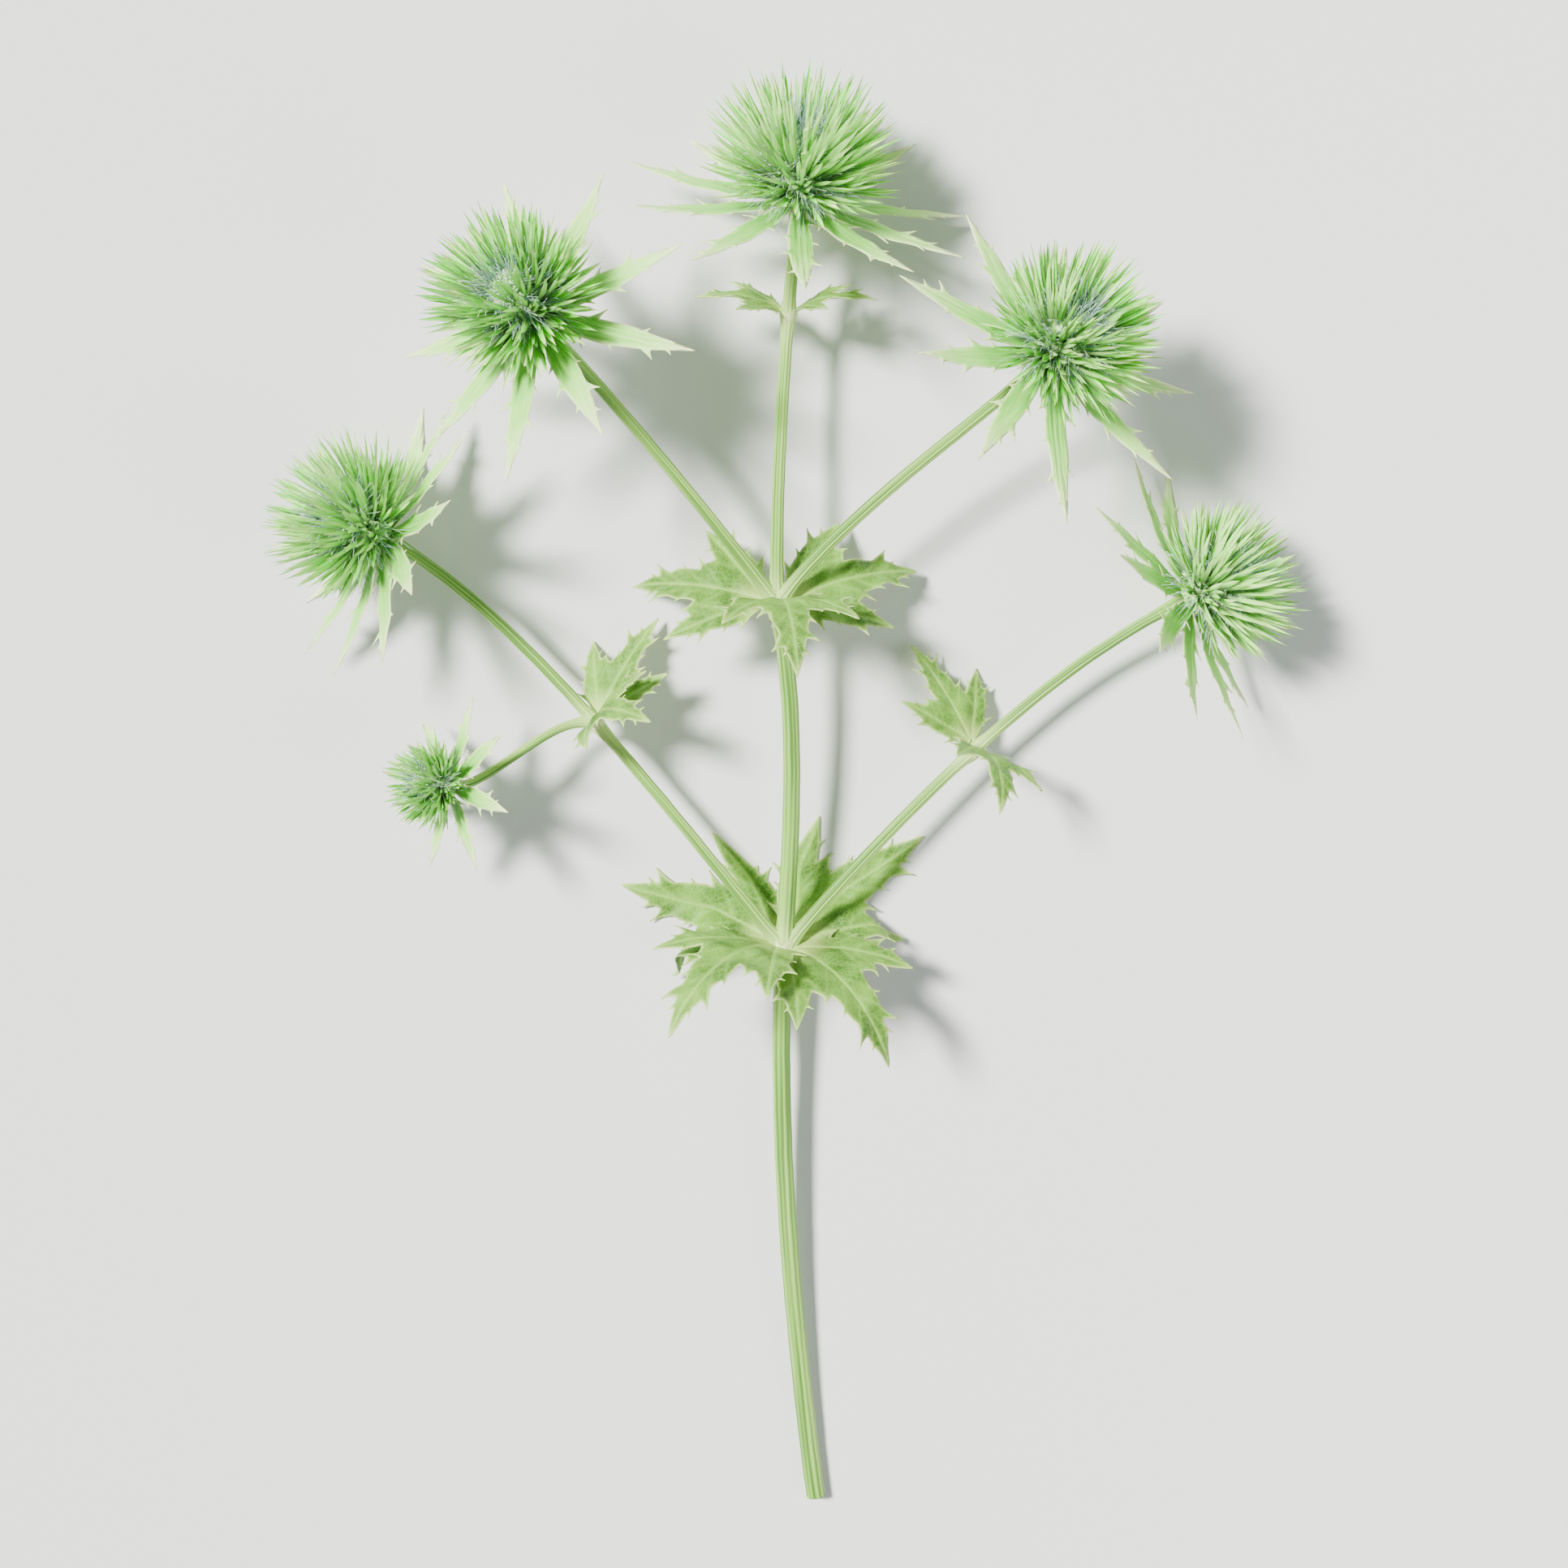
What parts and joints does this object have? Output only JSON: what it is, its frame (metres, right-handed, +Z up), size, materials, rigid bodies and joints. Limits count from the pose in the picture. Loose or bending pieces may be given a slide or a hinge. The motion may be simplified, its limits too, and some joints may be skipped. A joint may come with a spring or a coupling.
{
  "type": "sea holly stem",
  "caption": "Cut sea holly stem lying down: a ribbed branching stem with whorls of spiny leaves and bristly domed flower heads, each over a ruff of spiny bracts.",
  "frame": {"origin": "on the surface the stem lies on, below the middle of its bounding box", "axes": "+Y along the stem from the cut end to the flower heads, +X to the right seen from above with the heads away, +Z up from the surface"},
  "size_m": [0.3008, 0.4396, 0.0942],
  "materials": {
    "stem": "satin, pale green, ribbed lengthwise",
    "leaf": "matt, light green with pale veins and spines",
    "bract": "matt, pale green with cream points",
    "flower": "matt, pale green with cream points and grey-blue shade"
  },
  "bodies": {
    "root": {"stem": "stem", "flower_head_top": "flower", "bract_ruff_top": "bract", "flower_head_upper_left": "flower", "bract_ruff_upper_left": "bract", "flower_head_upper_right": "flower", "bract_ruff_upper_right": "bract", "flower_head_lower_left": "flower", "bract_ruff_lower_left": "bract", "flower_head_lower_right": "flower", "bract_ruff_lower_right": "bract", "flower_head_bud": "flower", "bract_ruff_bud": "bract", "leaf_lower_1": "leaf", "leaf_lower_2": "leaf", "leaf_lower_3": "leaf", "leaf_lower_4": "leaf", "leaf_upper_1": "leaf", "leaf_upper_2": "leaf", "leaf_upper_3": "leaf", "leaf_left_1": "leaf", "leaf_left_2": "leaf", "leaf_right_1": "leaf", "leaf_right_2": "leaf", "leaf_top_1": "leaf", "leaf_top_2": "leaf"}
  },
  "joints": []
}
